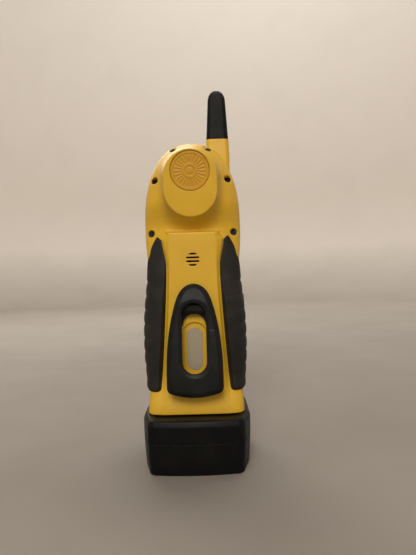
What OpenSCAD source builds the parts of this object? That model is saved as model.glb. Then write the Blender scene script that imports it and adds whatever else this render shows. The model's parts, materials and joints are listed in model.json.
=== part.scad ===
// Hand-held two way radio standing on its battery pack, in millimetres.
// Origin: centre of the footprint. +Z runs up to the antenna, -Y is the front, +Y carries the belt clip.

/* [Head] */
// Height of the head's widest point
head_z = 157; // [152:1:162]
// Height of the top of the head
head_top = 211.4; // [206:0.2:214]
// Half the width of the head
head_hw = 32.5; // [30:0.5:34]
// Squareness of the head's outline, 2 is an ellipse
head_n = 2.3; // [2:0.1:3]
// Depth of the head's back dome behind the seam
head_depth = 20; // [18:0.5:22]

/* [Body] */
// Half the width of the housing under the grips
waist_hw = 30.4; // [29:0.2:31]
// Half the width of the foot
foot_hw = 31.6; // [31:0.2:32.4]
// Height of the foot's lower edge above the resting face
foot_z = 33.3; // [33.2:0.1:34]
// Depth of the front shell in front of the seam
front_depth = 19.5; // [18:0.5:20]
// Wall thickness of both shells
wall = 2.2; // [1.8:0.1:2.6]
// Y of the seam between the shells
seam_y = -5; // [-6:0.5:-4]
// Width of the seam that the gasket fills
seam_gap = 0.6; // [0.4:0.1:0.8]
// Y of the slab's back face
slab_y = 13; // [12.6:0.1:13.2]
// Height of the slab's upper edge
slab_top = 150; // [148:0.5:151]

/* [Plateau and emblem] */
// Half the width of the raised plateau on the head
plateau_hw = 16.8; // [16:0.1:18]
// Height of the emblem's centre
emblem_z = 186.8; // [185.8:0.1:188.8]
// Radius of the emblem's recess
recess_r = 12.4; // [11:0.1:12.6]
// Depth of the emblem's recess
recess_depth = 1.4; // [1:0.1:1.6]
// Lean of the plateau's face in degrees
face_tilt = 9.7; // [6:0.1:12]

/* [Grips] */
// Greatest half width over the grips
grip_hw = 34.9; // [34:0.1:35]
// Clearance between a grip and the housing
grip_gap = 0.3; // [0.2:0.05:0.5]

/* [Belt clip] */
// Half the width of the clip
clip_hw = 17.7; // [16:0.1:18]
// Height of the clip's upper end
clip_top = 116.6; // [115:0.2:117]
// Thickness of the clip's plate
clip_t = 3; // [2.4:0.1:3]
// Height of the clip's hinge pin
pin_z = 106; // [105.5:0.1:106.5]
// Y of the clip's hinge pin
pin_y = 16.2; // [16:0.1:16.4]
// Radius of the hinge pin
pin_r = 1.5; // [1.2:0.1:1.6]
// Running clearance round the hinge pin
pin_play = 0.05; // [0.03:0.01:0.08]

/* [Antenna] */
// X of the antenna's axis
ant_x = -18.6; // [-19:0.1:-18]
// Y of the antenna's axis
ant_y = -12; // [-12.6:0.1:-11.8]
// Height where the housing ends and the sleeve begins
ant_base_top = 218; // [216:0.5:220]
// Height of the antenna's tip
ant_top = 252; // [248:0.5:260]

/* [Battery pack] */
// Half the width of the pack
pack_hw = 35.2; // [35.1:0.1:36]
// Half the depth of the pack
pack_hd = 30; // [29.5:0.1:31]
// Height of the pack
pack_h = 33; // [32.8:0.1:33]
// Height of the joint between the pack's cup and its lid
pack_split = 19; // [18.6:0.1:19.2]
// Diameter of one cell
cell_d = 14.2; // [13.8:0.1:14.2]
// Length of one cell
cell_len = 43; // [41:0.5:43]

/* [Keys] */
// Travel of a front key
key_travel = 0.8; // [0.4:0.1:1]
// Clearance round a key
key_gap = 0.35; // [0.3:0.05:0.5]
// Width of a small key
key_w = 11; // [9:0.5:12]
// Height of a small key
key_h = 7; // [6:0.5:8]

/* [Hidden] */
$fn = 48;

over = 1;              // how far a cutter runs past the face that it cuts
cols = 20;             // facets across one shell's section
screw_holes = [[11.6, 206], [24.2, 185.5], [27.6, 150.7]];
screw_hole_r = 2.45;
screw_head_r = 2.2;
screw_shank_r = 1.2;
pilot_r = 1.25;
boss_r = 3.6;
head_seat_y = -1.5;    // the floor of each screw hole
valley_depth = 13;
plateau_round = 4.5;   // how much wider the plateau is at its root
face_y = 25.7;         // Y of the plateau's face at the emblem
upper_arc = 3.6;       // from the emblem's centre down to the centre of the plateau's upper arc
lower_arc = 11.3;      // and to that of its lower arc
slot_z = 132.5;
slot_r = 4.35;
slot_t = 1.1;
slot_pitch = 2.45;
body_yellow = [0.80, 0.60, 0.16];
rubber_black = [0.15, 0.14, 0.13];
plastic_black = [0.12, 0.12, 0.11];
steel = [0.62, 0.63, 0.65];
brass = [0.75, 0.62, 0.32];
board_green = [0.10, 0.36, 0.22];

// ---- helpers ---------------------------------------------------------------------------------

function clamp01(t) = min(1, max(0, t));
function ease(a, b, z) = let (t = clamp01((z - a) / (b - a))) t * t * (3 - 2 * t);
function mix(a, b, t) = a + (b - a) * t;
function signed_pow(v, e) = sign(v) * pow(abs(v), e);
function steps(a, b, n) = [for (i = [0 : n]) mix(a, b, i / n)];

// Corner of radius r about [cx, cy], from angle a to angle b
function arc(cx, cy, r, a, b, n = 5) = [for (t = steps(a, b, n)) [cx + r * cos(t), cy + r * sin(t)]];

// Rectangle of half sizes hx, hy with rounded corners, counter-clockwise
function round_rect(hx, hy, r, n = 5) = concat(
    arc(hx - r, hy - r, r, 0, 90, n), arc(r - hx, hy - r, r, 90, 180, n),
    arc(r - hx, r - hy, r, 180, 270, n), arc(hx - r, r - hy, r, 270, 360, n));

function at_height(loop, z) = [for (p = loop) [p[0], p[1], z]];

// Closed solid through loops of equal length, lowest loop first, each counter-clockwise from above
module loft(loops, cap = undef) {
    n = len(loops[0]);
    m = len(loops);
    ends = is_undef(cap) ? [[for (j = [0 : n - 1]) j]] : cap;
    polyhedron(
        points = [for (l = loops) each l],
        faces = concat(
            ends,
            [for (i = [0 : m - 2], j = [0 : n - 1])
                let (a = i * n + j, b = i * n + (j + 1) % n) each [[a, a + n, b + n], [a, b + n, b]]],
            [for (f = ends) [for (j = [len(f) - 1 : -1 : 0]) (m - 1) * n + f[j]]]));
}

// Extrudes a shape drawn in X and Z from y0 to y1
module along_y(y0, y1) {
    translate([0, y1, 0]) rotate([90, 0, 0]) linear_extrude(y1 - y0) children();
}

// Extrudes a shape drawn in Y and Z from x0 to x1
module along_x(x0, x1) {
    translate([x0, 0, 0]) rotate([90, 0, 90]) linear_extrude(x1 - x0) children();
}

module bar(x0, x1, y0, y1, z0, z1) {
    translate([x0, y0, z0]) cube([x1 - x0, y1 - y0, z1 - z0]);
}

module both_sides() {
    children();
    mirror([1, 0, 0]) children();
}

module rod_y(x, z, r, y0, y1) {
    translate([x, y1, z]) rotate([90, 0, 0]) cylinder(r = r, h = y1 - y0);
}

module rod_x(y, z, r, x0, x1) {
    translate([x0, y, z]) rotate([0, 90, 0]) cylinder(r = r, h = x1 - x0);
}

module rod_z(x, y, r, z0, z1) {
    translate([x, y, z0]) cylinder(r = r, h = z1 - z0);
}

// ---- the housing's form -----------------------------------------------------------------------

function dome(z, n) = z <= head_z ? 1 : pow(1 - pow((z - head_z) / (head_top - head_z), n), 1 / n);
function half_w(z) = mix(mix(foot_hw, waist_hw, ease(foot_z, 56, z)), head_hw, ease(118, 150, z)) * dome(z, head_n);
function rear_depth(z) = dome(z, head_n)
    * mix(mix(mix(21.7, 16, ease(foot_z, 58, z)), valley_depth, ease(120, 150, z)), head_depth, ease(153, 172, z));
function rear_n(z) = mix(mix(7, 3.2, ease(foot_z, 60, z)), head_n, ease(110, 150, z));
function front_depth_at(z) = mix(front_depth, front_depth + 1.5, ease(118, 150, z)) * dome(z, 4);
function front_n(z) = mix(4, 3, ease(118, 160, z));

outer_rows = concat(steps(foot_z, 60, 6), steps(68, 140, 8), steps(146, head_z, 3), steps(163, 198, 6),
    [202, 205.5, 208.3, 210.2, 211.3]);

// Half section at height z, open side on the seam: start is 0 behind the seam, 180 in front of it
function half_loop(z, hw, depth, n, start, lift = 0) = let (side = start == 0 ? 1 : -1) concat(
    lift > 0 ? [[side * hw, seam_y - side * lift, z]] : [],
    [for (t = steps(start, start + 180, cols))
        [hw * signed_pow(cos(t), 2 / n), seam_y + side * seam_gap / 2 + depth * signed_pow(sin(t), 2 / n), z]],
    lift > 0 ? [[-side * hw, seam_y - side * lift, z]] : []);

inner_top = head_top - wall;
function inner_z(z) = z <= head_z ? z : head_z + (z - head_z) * (inner_top - head_z) / (head_top - head_z);

module outer_half(start) {
    loft([for (z = outer_rows) half_loop(z, half_w(z), start == 0 ? rear_depth(z) : front_depth_at(z),
        start == 0 ? rear_n(z) : front_n(z), start)]);
}

module inner_half(start) {
    loft([for (z = concat([foot_z - over], [for (k = [1 : len(outer_rows) - 1]) outer_rows[k]]))
        let (s = max(z, foot_z))
        half_loop(inner_z(z), half_w(s) - wall * dome(s, head_n),
            (start == 0 ? rear_depth(s) : front_depth_at(s)) - wall * dome(s, start == 0 ? head_n : 4),
            start == 0 ? rear_n(s) : front_n(s), start, over)]);
}

// Places its children on the plateau's face, local Z out of the face, local Y down the face
module on_face() {
    translate([0, face_y, emblem_z]) rotate([-90 - face_tilt, 0, 0]) children();
}

module stadium(r, down) {
    polygon(concat(arc(0, down, r, 0, 180, 16), arc(0, upper_arc, r, 180, 360, 16)));
}

module plateau_solid(shrink) {
    hull() {
        on_face() translate([0, 0, -shrink * 1.8 - 0.01]) linear_extrude(0.01) stadium(plateau_hw - shrink, lower_arc);
        translate([0, 2, emblem_z]) rotate([-90, 0, 0]) linear_extrude(0.01)
            stadium(plateau_hw + plateau_round - shrink, lower_arc + 2);
    }
}

// Half widths of the slab's face and of its root, with the Y of its face, at each height
slab_rows = [
    [foot_z, 21, 25, 16], [46, 19.6, 22.3, 14.6], [60, 18.6, 20.9, slab_y], [92, 17, 18.6, slab_y],
    [108, 16, 17.6, slab_y], [128, 15.3, 17, slab_y], [slab_top - 4, 15.3, 20, slab_y], [slab_top, 15.3, 17, slab_y]];

module slab_solid() {
    loft([for (r = slab_rows) at_height([[r[2], 2], [r[2], r[3] - 3], [r[1], r[3]],
        [-r[1], r[3]], [-r[2], r[3] - 3], [-r[2], 2]], r[0])]);
}

module screw_bosses(y0, y1, r) {
    both_sides() for (p = screw_holes) rod_y(p[0], p[1], r, y0, y1);
}

// ---- housing pieces -------------------------------------------------------------------------------

module rear_cover() color(body_yellow) {
    difference() {
        union() {
            outer_half(0);
            plateau_solid(0);
            slab_solid();
        }
        difference() {
            union() {
                inner_half(0);
                plateau_solid(2.4);
            }
            screw_bosses(seam_y + seam_gap / 2 - over, 30, boss_r);
        }
        bar(-40, 40, -30, seam_y + seam_gap / 2, 20, 230);
        screw_bosses(head_seat_y, 30, screw_hole_r);
        screw_bosses(seam_y - over, 30, screw_shank_r + 0.2);
        on_face() translate([0, 0, -recess_depth]) cylinder(r = recess_r, h = 10);
        along_y(0, 20) rear_slots();
        label_pocket();
        for (x = [-clip_screw_x, clip_screw_x]) rod_y(x, clip_screw_z, 1.3, 2, 20);
    }
}

clip_screw_x = 4.6;
clip_screw_z = 99.8;

module rear_slots() {
    intersection() {
        translate([0, slot_z]) circle(r = slot_r);
        for (k = [-1.5 : 1 : 1.5])
            translate([-slot_r, slot_z + k * slot_pitch - slot_t / 2]) square([2 * slot_r, slot_t]);
    }
}

label_hw = 5.1;
label_half = 13.85;
label_z = 74.6;

module label_pocket() {
    along_y(slab_y - 1.2, 20) translate([0, label_z]) polygon(round_rect(8, 17, 7.9));
}

panel_back_y = -23.8;
speaker_z = 176;

module key_holes(gap) {
    for (k = key_list) translate([k[0], k[1]]) polygon(round_rect(k[2] / 2 + gap, k[3] / 2 + gap, 2));
}

side_key_w = key_w - 1.6;
// Each key: x, z, width, height
key_list = [
    [-12.2, 84, side_key_w, key_h], [12.2, 84, side_key_w, key_h], [0, 91.5, key_w, key_h], [0, 78, key_w, key_h],
    [-9.5, 64, 15, key_h], [9.5, 64, 15, key_h]];

module panel_outline(grow) {
    polygon([for (p = round_rect(20 + grow, 50.5 + grow, 9, 6)) [p[0], p[1] + 97]]);
}

module window(grow) {
    translate([0, 122]) polygon(round_rect(15 + grow, 12 + grow, 3));
}

module antenna_base() {
    loft([
        at_height([for (p = round_rect(8.6, 6.4, 3.4)) p + [ant_x + 0.6, ant_y]], 187),
        at_height([for (p = round_rect(8.2, 6.2, 3.4)) p + [ant_x, ant_y]], 205),
        at_height([for (p = round_rect(7.85, 6, 3.4)) p + [ant_x, ant_y]], ant_base_top)]);
}

speaker_slots = [-12 : 4 : 12];

module front_cover() color(body_yellow) {
    difference() {
        union() {
            outer_half(180);
            antenna_base();
        }
        difference() {
            inner_half(180);
            screw_bosses(-30, seam_y - seam_gap / 2 + over, 3.2);
            antenna_base();
        }
        screw_bosses(seam_y - 12, seam_y + over, pilot_r);
        rod_z(ant_x, ant_y, 3.4, 196, ant_base_top + over);
        along_y(-40, panel_back_y) panel_outline(0.2);
        along_y(-40, -15) window(0);
        along_y(-40, -15) key_holes(key_gap);
        along_y(-40, -15) translate([0, speaker_z]) for (v = speaker_slots)
            translate([0, v]) polygon(round_rect(sqrt(16 * 16 - v * v), 0.9, 0.89));
        rod_y(12, mic_z, 0.8, -40, -15);
        bar(-19, 19, key_seat_y, -15, 56, 99);
        bar(-40, -24, ptt_y - ptt_hy - key_gap, ptt_y + ptt_hy + key_gap, ptt_z - ptt_hz - key_gap, ptt_z + ptt_hz + key_gap);
    }
}

key_seat_y = -22.6;    // inside face of the shell behind the keys
mic_z = 52.5;
ptt_y = -11;
ptt_z = 98;
ptt_hy = 3.4;
ptt_hz = 11;
ptt_x = -35;

// Outline of the housing at the seam, drawn in from its edge
function outline(inset) = concat(
    [for (z = outer_rows) [half_w(z) - inset * dome(z, head_n), inner_ring(z, inset)]],
    [for (k = [len(outer_rows) - 1 : -1 : 0]) let (z = outer_rows[k])
        [inset * dome(z, head_n) - half_w(z), inner_ring(z, inset)]]);
function inner_ring(z, inset) = z <= head_z ? z : head_z + (z - head_z) * (head_top - inset - head_z) / (head_top - head_z);

seal_inset = 0.7;
seal_w = 0.6;    // narrow enough to pass outside the upper screws

module cover_seal() color(plastic_black)
    along_y(seam_y - seam_gap / 2 + 0.05, seam_y + seam_gap / 2 - 0.05) difference() {
        polygon(outline(seal_inset));
        polygon(outline(seal_inset + seal_w));
        translate([-25, foot_z - over]) square([50, 4]);
    }

module cover_screws() color(steel) both_sides() for (p = screw_holes) difference() {
    union() {
        rod_y(p[0], p[1], screw_head_r, head_seat_y + 0.02, head_seat_y + 2);
        rod_y(p[0], p[1], screw_shank_r, seam_y - 11.5, head_seat_y + 0.5);
    }
    for (a = [0, 90]) translate([p[0], head_seat_y + 2, p[1]]) rotate([0, a, 0])
        cube([2.8, 2, 0.6], center = true);
}

// How far a grip stands out of the housing at height z
function grip_thick(z) = mix(0.7, grip_hw - waist_hw, exp(-pow(abs(z - grip_mid) / grip_reach, 2.5))) - grip_gap;
grip_mid = 80;
grip_reach = 35;
// X of a grip's edge on the back face, and of its outer edge above the waist
function grip_edge(z) = max(mix(mix(23.3, 17.4, pow(clamp01((z - 44) / 78), 0.7)), 20.4, ease(130, 146, z)),
    grip_tip_x - (grip_top - z) * 1.1);
function grip_shoulder(z) = mix(31, grip_tip_x + 0.8, pow(clamp01((z - shoulder_z) / (grip_top - shoulder_z)), 1.6));
shoulder_z = 132;
grip_top = 148;
grip_tip_x = 23.2;     // inner side of a grip's pointed upper end
grip_rows = concat([43.6, 45, 48], steps(54, shoulder_z, 13), [136, 140, 143, 145.5, grip_top]);
grip_cols = 10;
wrap_angle = -34;      // how far a grip wraps round to the front

// Angle of the superellipse at half width hw and power n where x is reached
function angle_at(x, hw, n) = acos(pow(clamp01(x / hw), n / 2));

// One face of a grip at height z, off away from the housing
function grip_face(z, off) =
    let (hw = half_w(z) + off, n = rear_n(z), m = front_n(z), d = rear_depth(z) + off, f = front_depth_at(z) + off,
        a0 = angle_at(grip_edge(z), hw, n),
        a1 = z < shoulder_z ? mix(wrap_angle, 0, ease(112, shoulder_z, z)) : angle_at(grip_shoulder(z), hw, n))
    [for (t = steps(a0, a1, grip_cols)) t > 0
        ? [hw * pow(cos(t), 2 / n), seam_y + seam_gap / 2 + d * pow(sin(t), 2 / n)]
        : [hw * pow(cos(t), 2 / m), seam_y - seam_gap / 2 - f * pow(-sin(t), 2 / m)]];

module grip() {
    loft([for (z = grip_rows) let (
            outer = grip_face(z, grip_gap + max(0.6, grip_thick(z) * min(1, (z - 40) / 6))),
            inner = grip_face(z, grip_gap))
        at_height(concat([for (k = [grip_cols : -1 : 0]) outer[k]], inner), z)], strip(grip_cols));
}

// End faces of a loft whose loop runs along one face and back along the other, c steps each way
function strip(c) = [for (i = [0 : c - 1]) each [[i, i + 1, 2 * c + 1 - i], [i + 1, 2 * c - i, 2 * c + 1 - i]]];

module left_grip() color(rubber_black) grip();

module right_grip() color(rubber_black) difference() {
    mirror([1, 0, 0]) grip();
    bar(-40, -24, ptt_y - ptt_hy - 0.6, ptt_y + ptt_hy + 0.6, ptt_z - ptt_hz - 0.6, ptt_z + ptt_hz + 0.6);
}

module emblem_disc() color([0.69, 0.50, 0.15]) on_face() translate([0, 0, -recess_depth + 0.02]) {
    difference() {
        cylinder(r = recess_r - 0.9, h = 1);
        for (r = [9.6, 5.2]) translate([0, 0, 0.7]) difference() {
            cylinder(r = r, h = 1);
            translate([0, 0, -over]) cylinder(r = r - 0.8, h = 3);
        }
    }
}

module rating_label() color([0.70, 0.66, 0.56])
    along_y(slab_y - 1.18, slab_y - 0.98) translate([0, label_z])
        polygon(round_rect(label_hw, label_half, label_hw - 0.05, 8));

// ---- antenna --------------------------------------------------------------------------------------

sleeve_shoulder = 243.5;
function sleeve_scale(z) = mix(1, 0.8, clamp01((z - ant_base_top) / (sleeve_shoulder - ant_base_top)))
    * (z <= sleeve_shoulder ? 1 : sqrt(1 - pow((z - sleeve_shoulder) / (ant_top + 0.15 - sleeve_shoulder), 2)));

module antenna_sleeve() color(rubber_black) difference() {
    loft([for (z = concat([ant_base_top + 0.3, 219.5], steps(224, sleeve_shoulder, 4), [246, 248.4, 250.2, 251.4, ant_top]))
        let (s = sleeve_scale(z)) at_height(
            [for (p = round_rect(7.7 * s, 5.8 * s, 3.6 * s)) p + [ant_x, ant_y]], z)]);
    rod_z(ant_x, ant_y, 4, ant_base_top, 243);
}

module antenna_ferrule() color(brass) difference() {
    union() {
        rod_z(ant_x, ant_y, 3.35, 201, ant_base_top + 2);
        rod_z(ant_x, ant_y, 2, 197, 202);
    }
    rod_z(ant_x, ant_y, 1.6, 214, 222);
}

module antenna_core() color([0.85, 0.84, 0.78]) {
    rod_z(ant_x, ant_y, 1.55, 214.2, 241);
    rod_z(ant_x, ant_y, 2.4, 240, 242.6);
}

coil_turns = 7;
coil_r = 2.9;
wire_r = 0.45;

module antenna_coil() color(brass) {
    loft([for (k = [0 : coil_turns * 12]) let (t = k * 30, h = 221.2 + k * 17.6 / (coil_turns * 12))
        [for (a = [300 : -60 : 0]) let (r = coil_r + wire_r * cos(a))
            [ant_x + r * cos(t), ant_y + r * sin(t), h + wire_r * sin(a)]]]);
}

// ---- belt clip --------------------------------------------------------------------------------------

clip_mid = 58;         // the clip narrows above this height
clip_taper = 7.6;      // by this much on each side
clip_arch = 100;       // and closes in an arch from here
function clip_half(z) = (clip_hw - clip_taper * pow(max(0, z - clip_mid) / 52, 2.4))
    * sqrt(max(0, 1 - pow(clamp01((z - clip_arch) / (clip_top + 0.2 - clip_arch)), 5.4)));
clip_rows = concat(steps(clip_mid, 106, 7), [109, 111.5, 113.5, 115, 116, 116.5]);
clip_side = concat(arc(clip_hw - 2.8, 51.6, 2.8, -62, 0, 4), [for (z = clip_rows) [clip_half(z), z]]);

module clip_outline() {
    polygon(concat([[5.5, 46.5], [0, 46.2], [-5.5, 46.5], [-10.5, 47.4]],
        [for (k = [0 : len(clip_side) - 1]) [-clip_side[k][0], clip_side[k][1]]],
        [for (k = [len(clip_side) - 1 : -1 : 0]) clip_side[k]], [[10.5, 47.4]]));
}

// Y of the clip's outer face along its length
function clip_outer(z) = mix(27.2, 22, pow(clamp01((z - 46) / (105 - 46)), 1.5))
    - 4.2 * pow(clamp01((z - 105) / (clip_top - 105)), 1.2);
clip_z = concat(steps(46, 98, 8), steps(102, clip_top + 0.4, 5));

module clip_profile(under) {
    polygon(concat([for (z = clip_z) [clip_outer(z), z]],
        [for (k = [len(clip_z) - 1 : -1 : 0]) [clip_outer(clip_z[k]) - under, clip_z[k]]]));
}

ear_x = 7.3;
ear_t = 2.9;
ear_r = 2.8;

module belt_clip() color(plastic_black) difference() {
    union() {
        intersection() {
            along_x(-20, 20) clip_profile(clip_t);
            along_y(0, 32) clip_outline();
        }
        both_sides() along_x(ear_x, ear_x + ear_t) {
            translate([pin_y, pin_z]) circle(r = ear_r);
            polygon([[pin_y - 1.2, pin_z - 2.5], [pin_y + 4, pin_z - 5], [pin_y + 4, pin_z + 1], [pin_y, pin_z + ear_r]]);
        }
        intersection() {
            bar(-14, 14, 20, 26, 48.6, 51);
            along_y(0, 32) clip_outline();
        }
    }
    along_y(0, 40) translate([0, 82.6]) polygon(round_rect(7.6, 22, 7.55, 8));
    rod_x(pin_y, pin_z, pin_r + pin_play, -20, 20);
}

// Black plate with an arched foot, and on it the block that holds the clip's pin
module clip_bracket() color(plastic_black) difference() {
    union() {
        along_x(-bracket_hw, bracket_hw) polygon([[bracket_y, clip_screw_z - 2.4], [17, clip_screw_z - 2.4],
            [18, clip_screw_z - 0.3], [18, pin_z], [14.4, pin_z + 5.6], [bracket_y, pin_z + 5.6]]);
        along_x(-bracket_foot_hw, bracket_foot_hw) polygon([[bracket_y, bracket_low], [14.4, bracket_low],
            [15.1, bracket_low + 0.7], [15.1, pin_z - 3.4], [bracket_y, pin_z - 3.4]]);
    }
    along_y(slab_y - over, 30) translate([0, bracket_low]) circle(r = bracket_arch_r);
    rod_x(pin_y, pin_z, pin_r + pin_play, -20, 20);
    bar(-4.4, 4.4, slab_y + 0.6, 30, pin_z - 2.7, pin_z + 2.7);
    for (x = [-clip_screw_x, clip_screw_x]) rod_y(x, clip_screw_z, 1, slab_y - over, 16.6);
}
bracket_y = slab_y + 0.05;
bracket_hw = 6.95;          // block, between the clip's ears
bracket_foot_hw = 9.6;
bracket_low = 90;
bracket_arch_r = 7.4;

module clip_pin() color(steel) rod_x(pin_y, pin_z, pin_r, -ear_x - ear_t + 0.1, ear_x + ear_t - 0.1);

module clip_spring() color(steel) for (k = [-1.5 : 1 : 1.5])
    translate([k * 1.9, pin_y, pin_z]) rotate([0, 90, 0]) rotate_extrude() translate([1.95, 0]) circle(r = 0.3, $fn = 16);

module clip_screws() color(steel) for (x = [-clip_screw_x, clip_screw_x]) {
    rod_y(x, clip_screw_z, 0.98, 9, 16);
    rod_y(x, clip_screw_z, 2, 7.2, 8.9);
}

module sounder() color(plastic_black) difference() {
    rod_y(0, slot_z, 7.5, 0.8, 6.6);
    rod_y(0, slot_z, 2.2, 5, 8);
}

// ---- front panel, display and keys ---------------------------------------------------------------------

module face_panel() color(plastic_black) difference() {
    along_y(-26.2, panel_back_y - 0.05) panel_outline(0);
    along_y(-40, -15) window(-1.5);
    along_y(-30, -25) window(0.2);
    along_y(-40, -15) key_holes(key_gap);
    rod_y(12, mic_z, 0.8, -40, -15);
}

module display_lens() color([0.35, 0.40, 0.38, 0.6]) along_y(-25.9, -25.02) window(0);

module display_module() color([0.55, 0.58, 0.50]) {
    bar(-16.5, 16.5, -22, -19.2, 108.5, 135.5);
    bar(-12, 12, -23.3, -22, 112.5, 131.5);
}

module key_board() color(board_green) difference() {
    bar(-19, 19, -19.1, -17.9, 56, 138);
    for (x = [-16, 16], z = [59, 104]) rod_y(x, z, 1.2, -25, -10);
}

key_back_y = -21.4;
dome_y = key_back_y + key_travel + 0.55;

module keypad_mat() color([0.45, 0.45, 0.44]) {
    bar(-18, 18, dome_y + 0.3, -19.15, 58.5, 96.5);
    for (k = key_list) rod_y(k[0], k[1], 2.2, dome_y, dome_y + 0.35);
}

// Key k of the list: a cap through the panel on a flange behind the shell
module key(k) {
    along_y(-27.6, -22.2) translate([k[0], k[1]]) polygon(round_rect(k[2] / 2, k[3] / 2, 2));
    along_y(-22.25, key_back_y) translate([k[0], k[1]]) polygon(round_rect(k[2] / 2 + 0.8, k[3] / 2 + 0.8, 2));
}

module menu_key() color(rubber_black) key(key_list[0]);
module scan_key() color(rubber_black) key(key_list[1]);
module up_key() color(rubber_black) key(key_list[2]);
module down_key() color(rubber_black) key(key_list[3]);
module power_key() color([0.72, 0.16, 0.10]) key(key_list[4]);
module call_key() color(rubber_black) key(key_list[5]);

module ptt_button() color(rubber_black) {
    along_x(ptt_x, -26.9) translate([ptt_y, ptt_z]) polygon(round_rect(ptt_hy, ptt_hz, 2.5));
    along_x(-27, -26) translate([ptt_y, ptt_z]) polygon(round_rect(ptt_hy + 0.9, ptt_hz + 1.2, 2.5));
}

module ptt_switch() color(steel) {
    bar(-23, -16, -13.6, -9.7, ptt_z - 4, ptt_z + 4);
    bar(-24, -23, -12.2, -11, ptt_z - 1.2, ptt_z + 1.2);
}

// ---- sound and electronics ------------------------------------------------------------------------------

module speaker_frame() color([0.30, 0.31, 0.32]) translate([0, -20.6, speaker_z]) rotate([-90, 0, 0]) rotate_extrude()
    polygon([[17.2, 0], [19, 0], [19, 1.4], [17.5, 1.6], [10, 5.6], [6.2, 5.6], [6.2, 4.9], [9.8, 4.9], [17.2, 0.9]]);

module speaker_cone() color([0.16, 0.16, 0.17]) translate([0, -20.6, speaker_z]) rotate([-90, 0, 0]) rotate_extrude()
    polygon([[0, 1.4], [4, 2.2], [5, 3.4], [16.9, 0.3], [16.9, 0.7], [5, 3.9], [3.6, 2.7], [0, 1.9]]);

module speaker_magnet() color(steel) {
    rod_y(0, speaker_z, 8.6, -14.95, -11.4);
    rod_y(0, speaker_z, 6, -16.5, -14.95);
}

module main_board() color(board_green) difference() {
    bar(-19.5, 19.5, -9.6, -8, 60, 186);
    for (x = [-16, 16], z = [66, 152]) rod_y(x, z, 1.3, -12, -5);
}

module board_screws() color(steel) for (x = [-16, 16], z = [66, 152]) {
    rod_y(x, z, 2.2, -7.98, -6.6);
    rod_y(x, z, 1.25, -12.5, -7.5);
}

module shield_can() color([0.70, 0.71, 0.72]) difference() {
    bar(-14, 14, -7.98, -4.2, 96, 132);
    bar(-13.6, 13.6, -9, -4.6, 96.4, 131.6);
}

module microphone() color([0.66, 0.66, 0.64]) {
    rod_y(12, mic_z, 3, -22, -19.4);
    rod_y(12, mic_z, 2.2, -19.45, -18.9);
}

module contact_block() color(plastic_black) difference() {
    bar(-13, 13, -9, 3, 52, 57.5);
    for (x = blade_x) bar(x - 0.45, x + 0.45, -5.6, -0.4, 50, 60);
}

blade_x = [-8, 0, 8];

module contact_blades() color(brass) for (x = blade_x) bar(x - 0.4, x + 0.4, -5.5, -0.5, 42, 59);

// ---- battery pack ---------------------------------------------------------------------------------------

pack_back_hw = 29.8;
pack_taper_y = 9;

// Outline of the pack from above, drawn in by inset and scaled across by k
function pack_loop(inset, k = 1) = let (w = pack_hw - inset, d = pack_hd - inset, r = 7 - inset, b = pack_back_hw - inset)
    [for (p = concat(
        arc(w - r, r - d, r, -90, 0, 6),
        [[w, pack_taper_y], [mix(w, b, 0.35), pack_taper_y + 9]],
        arc(b - 3, d - 4.6, 3, 10, 80, 4),
        [[b / 2, d - 0.45], [0, d], [-b / 2, d - 0.45]],
        arc(3 - b, d - 4.6, 3, 100, 170, 4),
        [[-mix(w, b, 0.35), pack_taper_y + 9], [-w, pack_taper_y]],
        arc(r - w, r - d, r, 180, 270, 6))) [p[0] * k, p[1]]];

pack_wall = 2.2;
tower_hx = 19;
tower_y0 = -12;
tower_y1 = 6;
tower_top = 50;
pack_screw_at = [[31.4, -16], [31.4, 5]];

module pack_base() color(plastic_black) difference() {
    loft([at_height(pack_loop(1.6, 0.955), 0), at_height(pack_loop(0.5, 0.962), 0.6), at_height(pack_loop(0, 0.965), 1.8),
        at_height(pack_loop(0, 0.985), 10), at_height(pack_loop(0, 0.998), pack_split)]);
    difference() {
        loft([at_height(pack_loop(pack_wall + 1, 0.96), 2.4), at_height(pack_loop(pack_wall + 0.6, 0.985), 10),
            at_height(pack_loop(pack_wall, 0.998), pack_split + over)]);
        both_sides() for (p = pack_screw_at) rod_z(p[0], p[1], 2.5, 0, 30);
    }
    both_sides() for (p = pack_screw_at) {
        rod_z(p[0], p[1], 2, -over, 3.4);
        rod_z(p[0], p[1], 1.3, 0, 30);
    }
}

latch_hx = 10;

module pack_lid() color(plastic_black) difference() {
    union() {
        loft([at_height(pack_loop(0, 0.998), pack_split + 0.15), at_height(pack_loop(0), 24), at_height(pack_loop(0), 29.5),
            at_height(pack_loop(0.9), 31.8), at_height(pack_loop(2.2), pack_h)]);
        bar(-tower_hx, tower_hx, tower_y0, tower_y1, 30, tower_top);
    }
    difference() {
        union() {
            loft([at_height(pack_loop(pack_wall), pack_split - over), at_height(pack_loop(pack_wall), 30.6)]);
            bar(1.8 - tower_hx, tower_hx - 1.8, tower_y0 + 1.8, tower_y1 - 1.8, 29, tower_top - 2);
        }
        both_sides() for (p = pack_screw_at) rod_z(p[0], p[1], 2.5, 0, 40);
    }
    both_sides() for (p = pack_screw_at) rod_z(p[0], p[1], 1.22, 10, 29);
    for (x = blade_x) bar(x - 1, x + 1, -6.2, 0.2, 40, 60);
    bar(-latch_hx - 0.4, latch_hx + 0.4, -40, -20, 20.6, 30.2);
    bar(-7.4, 7.4, -19.2, -13.4, 28, 40);
}

module battery_cells() color([0.30, 0.48, 0.36]) for (k = [-1.5 : 1 : 1.5]) {
    rod_y(k * 14.4, 9.7, cell_d / 2, -26.2, cell_len - 26.2 - 1);
    rod_y(k * 14.4, 9.7, 2.7, cell_len - 27.3, cell_len - 26.2);
}

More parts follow.
